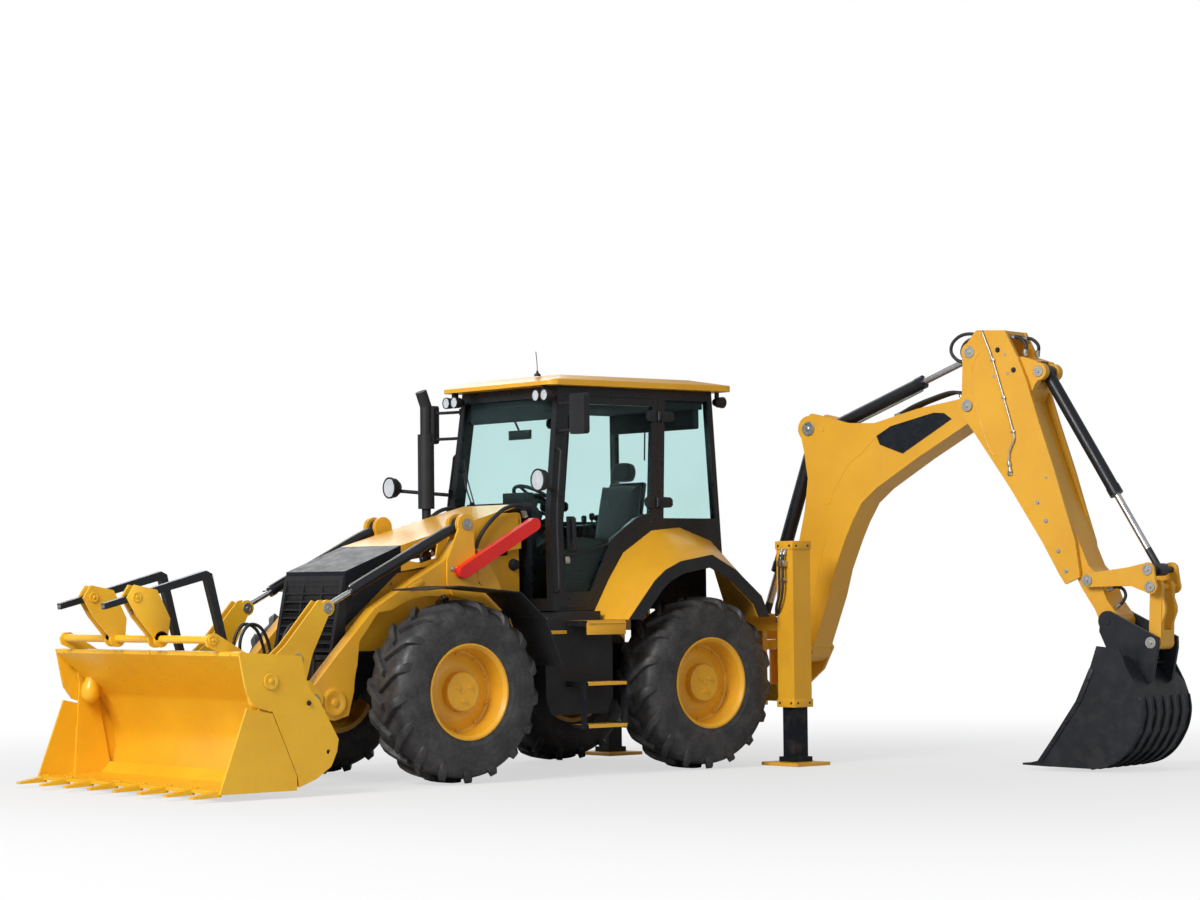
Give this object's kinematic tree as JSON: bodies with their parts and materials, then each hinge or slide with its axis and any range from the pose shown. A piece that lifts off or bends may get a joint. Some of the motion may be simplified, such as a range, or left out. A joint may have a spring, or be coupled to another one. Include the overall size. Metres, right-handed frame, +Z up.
{
  "type": "backhoe loader",
  "caption": "Wheeled loader with a clam bucket and folding forks in front, and a side-shifting, extending backhoe on stabiliser legs behind.",
  "frame": {"origin": "on the ground, under the middle of the whole machine's box with the hoe swung out as in the picture", "axes": "+X towards the loader, +Y to the driver's left, +Z up"},
  "size_m": [7.1297, 5.0288, 3.246],
  "materials": {
    "yellow_paint": "glossy machine yellow, lightly worn",
    "black_paint": "satin black paint",
    "chrome_rod": "polished piston rod",
    "window_glass": "clear, faintly green",
    "tyre_rubber": "dull, dusty tread",
    "engine_iron": "plain casting",
    "seat_fabric": "woven cover",
    "console_plastic": "grained plastic",
    "red_paint": "gloss red"
  },
  "bodies": {
    "chassis": {"frame": "black_paint", "front_frame": "yellow_paint", "engine": "engine_iron", "axles": "black_paint", "exhaust": "black_paint", "side_tanks": "black_paint", "steps": "yellow_paint", "cab_frame": "black_paint", "roof": "yellow_paint", "cab_glass": "window_glass", "cab_seat": "seat_fabric", "console": "console_plastic", "rear_fenders": "yellow_paint", "wheel_arches": "black_paint", "lamps": "black_paint", "mirrors": "black_paint", "lock_strut": "red_paint", "rear_frame": "yellow_paint"},
    "hood": {"hood": "yellow_paint", "grille": "black_paint"},
    "left_door": {"door_left": "black_paint", "door_glass_left": "window_glass"},
    "right_door": {"door_right": "black_paint", "door_glass_right": "window_glass"},
    "loader_arms": {"loader_arms": "yellow_paint"},
    "lift_barrels": {"lift_barrels": "black_paint"},
    "lift_rods": {"lift_rods": "chrome_rod"},
    "tilt_barrels": {"tilt_barrels": "black_paint"},
    "tilt_rods": {"tilt_rods": "chrome_rod"},
    "bucket": {"bucket_back": "yellow_paint"},
    "clam": {"clam_jaw": "yellow_paint"},
    "forks": {"forks": "black_paint"},
    "knuckle_front_left": {"knuckle_front_left": "black_paint"},
    "wheel_front_left": {"rim_front_left": "yellow_paint", "tyre_front_left": "tyre_rubber"},
    "knuckle_front_right": {"knuckle_front_right": "black_paint"},
    "wheel_front_right": {"rim_front_right": "yellow_paint", "tyre_front_right": "tyre_rubber"},
    "knuckle_rear_left": {"knuckle_rear_left": "black_paint"},
    "wheel_rear_left": {"rim_rear_left": "yellow_paint", "tyre_rear_left": "tyre_rubber"},
    "knuckle_rear_right": {"knuckle_rear_right": "black_paint"},
    "wheel_rear_right": {"rim_rear_right": "yellow_paint", "tyre_rear_right": "tyre_rubber"},
    "leg_left": {"leg_left": "black_paint"},
    "leg_right": {"leg_right": "black_paint"},
    "carriage": {"carriage": "yellow_paint"},
    "swing_post": {"swing_post": "yellow_paint"},
    "boom": {"boom": "yellow_paint"},
    "boom_barrel": {"boom_barrel": "black_paint"},
    "boom_rod": {"boom_rod": "chrome_rod"},
    "stick": {"stick": "yellow_paint"},
    "stick_barrel": {"stick_barrel": "black_paint"},
    "stick_rod": {"stick_rod": "chrome_rod"},
    "stick_extension": {"stick_extension": "yellow_paint"},
    "hoe_barrel": {"hoe_barrel": "black_paint"},
    "hoe_rod": {"hoe_rod": "chrome_rod"},
    "idler_links": {"idler_links": "yellow_paint"},
    "power_link": {"power_link": "yellow_paint"},
    "hoe_bucket": {"hoe_bucket": "black_paint"}
  },
  "joints": [
    {"name": "front_steer_left", "type": "hinge", "parent": "chassis", "child": "knuckle_front_left", "pos_m": [1.06736, -0.57682, 0.64], "axis": [0, 0, 1], "range_deg": [-18, 18]},
    {"name": "front_wheel_left", "type": "hinge", "parent": "knuckle_front_left", "child": "wheel_front_left", "pos_m": [1.06736, -0.39682, 0.64], "axis": [0, 1, 0], "continuous": true},
    {"name": "front_steer_right", "type": "hinge", "parent": "chassis", "child": "knuckle_front_right", "pos_m": [1.06736, -1.85682, 0.64], "axis": [0, 0, 1], "range_deg": [-18, 18]},
    {"name": "front_wheel_right", "type": "hinge", "parent": "knuckle_front_right", "child": "wheel_front_right", "pos_m": [1.06736, -2.03682, 0.64], "axis": [0, 1, 0], "continuous": true},
    {"name": "rear_steer_left", "type": "hinge", "parent": "chassis", "child": "knuckle_rear_left", "pos_m": [-1.17264, -0.57682, 0.64], "axis": [0, 0, 1], "range_deg": [-18, 18]},
    {"name": "rear_wheel_left", "type": "hinge", "parent": "knuckle_rear_left", "child": "wheel_rear_left", "pos_m": [-1.17264, -0.39682, 0.64], "axis": [0, 1, 0], "continuous": true},
    {"name": "rear_steer_right", "type": "hinge", "parent": "chassis", "child": "knuckle_rear_right", "pos_m": [-1.17264, -1.85682, 0.64], "axis": [0, 0, 1], "range_deg": [-18, 18]},
    {"name": "rear_wheel_right", "type": "hinge", "parent": "knuckle_rear_right", "child": "wheel_rear_right", "pos_m": [-1.17264, -2.03682, 0.64], "axis": [0, 1, 0], "continuous": true},
    {"name": "hood_lift", "type": "hinge", "parent": "chassis", "child": "hood", "pos_m": [0.12736, -1.21682, 1.885], "axis": [0, -1, 0], "range_deg": [0, 50]},
    {"name": "door_left", "type": "hinge", "parent": "chassis", "child": "left_door", "pos_m": [-1.01246, -0.59234, 2.3], "axis": [-0.073, -0.0419, 0.9965], "range_deg": [0, 75]},
    {"name": "door_right", "type": "hinge", "parent": "chassis", "child": "right_door", "pos_m": [-1.01246, -1.8413, 2.3], "axis": [0.073, -0.0419, -0.9965], "range_deg": [0, 75]},
    {"name": "loader_lift", "type": "hinge", "parent": "chassis", "child": "loader_arms", "pos_m": [0.76736, -1.21682, 1.82], "axis": [0, -1, 0], "range_deg": [0, 85]},
    {"name": "lift_barrel", "type": "hinge", "parent": "chassis", "child": "lift_barrels", "pos_m": [0.57736, -1.21682, 0.52], "axis": [0, -1, 0], "range_deg": [-9.5, 0.5]},
    {"name": "lift_rod", "type": "slide", "parent": "lift_barrels", "child": "lift_rods", "axis": [0.3335, 0, 0.9427], "range_m": [-0.01, 0.6]},
    {"name": "bucket_tilt", "type": "hinge", "parent": "loader_arms", "child": "bucket", "pos_m": [2.08136, -1.21682, 0.61], "axis": [0, -1, 0], "range_deg": [-75, 20]},
    {"name": "tilt_barrel", "type": "hinge", "parent": "loader_arms", "child": "tilt_barrels", "pos_m": [0.76736, -1.21682, 1.82], "axis": [0, -1, 0], "range_deg": [-2, 5]},
    {"name": "tilt_rod", "type": "slide", "parent": "tilt_barrels", "child": "tilt_rods", "axis": [0.8965, 0, -0.443], "range_m": [-0.19, 0.72]},
    {"name": "clam_open", "type": "hinge", "parent": "bucket", "child": "clam", "pos_m": [2.84336, -1.21682, 0.77], "axis": [0, -1, 0], "range_deg": [0, 65]},
    {"name": "forks_fold", "type": "hinge", "parent": "bucket", "child": "forks", "pos_m": [3.32736, -1.21682, 1.329], "axis": [0, -1, 0], "range_deg": [-250, 0]},
    {"name": "stabiliser_left", "type": "slide", "parent": "chassis", "child": "leg_left", "axis": [0, 0, 1], "range_m": [0, 0.36]},
    {"name": "stabiliser_right", "type": "slide", "parent": "chassis", "child": "leg_right", "axis": [0, 0, 1], "range_m": [0, 0.36]},
    {"name": "side_shift", "type": "slide", "parent": "chassis", "child": "carriage", "axis": [0, 1, 0], "range_m": [-0.89, 0.17]},
    {"name": "hoe_swing", "type": "hinge", "parent": "carriage", "child": "swing_post", "pos_m": [-2.49264, -0.85682, 0.7], "axis": [0, 0, -1], "range_deg": [-168, 12]},
    {"name": "boom_lift", "type": "hinge", "parent": "swing_post", "child": "boom", "pos_m": [-2.54774, -0.59761, 0.87], "axis": [-0.9781, -0.2079, 0], "range_deg": [-36, 78]},
    {"name": "boom_barrel_turn", "type": "hinge", "parent": "boom", "child": "boom_barrel", "pos_m": [-2.56957, -0.4949, 2.573], "axis": [-0.9781, -0.2079, 0], "range_deg": [-5, 5]},
    {"name": "boom_rod_slide", "type": "slide", "parent": "boom_barrel", "child": "boom_rod", "axis": [0.0697, -0.3281, -0.9421], "range_m": [-0.28, 0.58]},
    {"name": "stick_crowd", "type": "hinge", "parent": "boom", "child": "stick", "pos_m": [-2.8752, 0.94297, 2.685], "axis": [0.9781, 0.2079, 0], "range_deg": [-42, 66]},
    {"name": "stick_barrel_turn", "type": "hinge", "parent": "boom", "child": "stick_barrel", "pos_m": [-2.59452, -0.37753, 2.572], "axis": [0.9781, 0.2079, 0], "range_deg": [-3, 4]},
    {"name": "stick_rod_slide", "type": "slide", "parent": "stick_barrel", "child": "stick_rod", "axis": [-0.1947, 0.9162, 0.3502], "range_m": [-0.42, 0.27]},
    {"name": "stick_extend", "type": "slide", "parent": "stick", "child": "stick_extension", "axis": [-0.0792, 0.3727, -0.9245], "range_m": [0, 1]},
    {"name": "hoe_bucket_curl", "type": "hinge", "parent": "stick_extension", "child": "hoe_bucket", "pos_m": [-3.11368, 2.06491, 1.075], "axis": [0.9781, 0.2079, 0], "range_deg": [-70, 95]},
    {"name": "idler_turn", "type": "hinge", "parent": "stick_extension", "child": "idler_links", "pos_m": [-3.08394, 1.92503, 1.371], "axis": [0.9781, 0.2079, 0], "range_deg": [-52, 70]},
    {"name": "power_link_turn", "type": "hinge", "parent": "idler_links", "child": "power_link", "pos_m": [-3.18977, 2.42291, 1.322], "axis": [0.9781, 0.2079, 0], "range_deg": [-44, 33]},
    {"name": "hoe_barrel_turn", "type": "hinge", "parent": "stick_extension", "child": "hoe_barrel", "pos_m": [-2.99787, 1.52008, 2.914], "axis": [0.9781, 0.2079, 0], "range_deg": [-4, 5]},
    {"name": "hoe_rod_slide", "type": "slide", "parent": "hoe_barrel", "child": "hoe_rod", "axis": [-0.1089, 0.5121, -0.852], "range_m": [-0.52, 0.38]}
  ],
  "couplings": [
    {"joint": "front_steer_right", "follows": "front_steer_left", "ratio": 1},
    {"joint": "rear_steer_right", "follows": "rear_steer_left", "ratio": 1},
    {"joint": "lift_barrel", "follows": "loader_lift", "ratio": -0.1034},
    {"joint": "lift_rod", "follows": "loader_lift", "m_per_rad": 0.3883},
    {"joint": "tilt_barrel", "follows": "bucket_tilt", "ratio": -0.0529},
    {"joint": "tilt_rod", "follows": "bucket_tilt", "m_per_rad": -0.5389},
    {"joint": "boom_barrel_turn", "follows": "boom_lift", "ratio": -0.047},
    {"joint": "boom_rod_slide", "follows": "boom_lift", "m_per_rad": 0.41},
    {"joint": "stick_barrel_turn", "follows": "stick_crowd", "ratio": 0.05},
    {"joint": "stick_rod_slide", "follows": "stick_crowd", "m_per_rad": -0.352},
    {"joint": "idler_turn", "follows": "hoe_bucket_curl", "ratio": 0.724},
    {"joint": "power_link_turn", "follows": "hoe_bucket_curl", "ratio": -0.4514},
    {"joint": "hoe_barrel_turn", "follows": "hoe_bucket_curl", "ratio": 0.0499},
    {"joint": "hoe_rod_slide", "follows": "hoe_bucket_curl", "m_per_rad": -0.309}
  ]
}
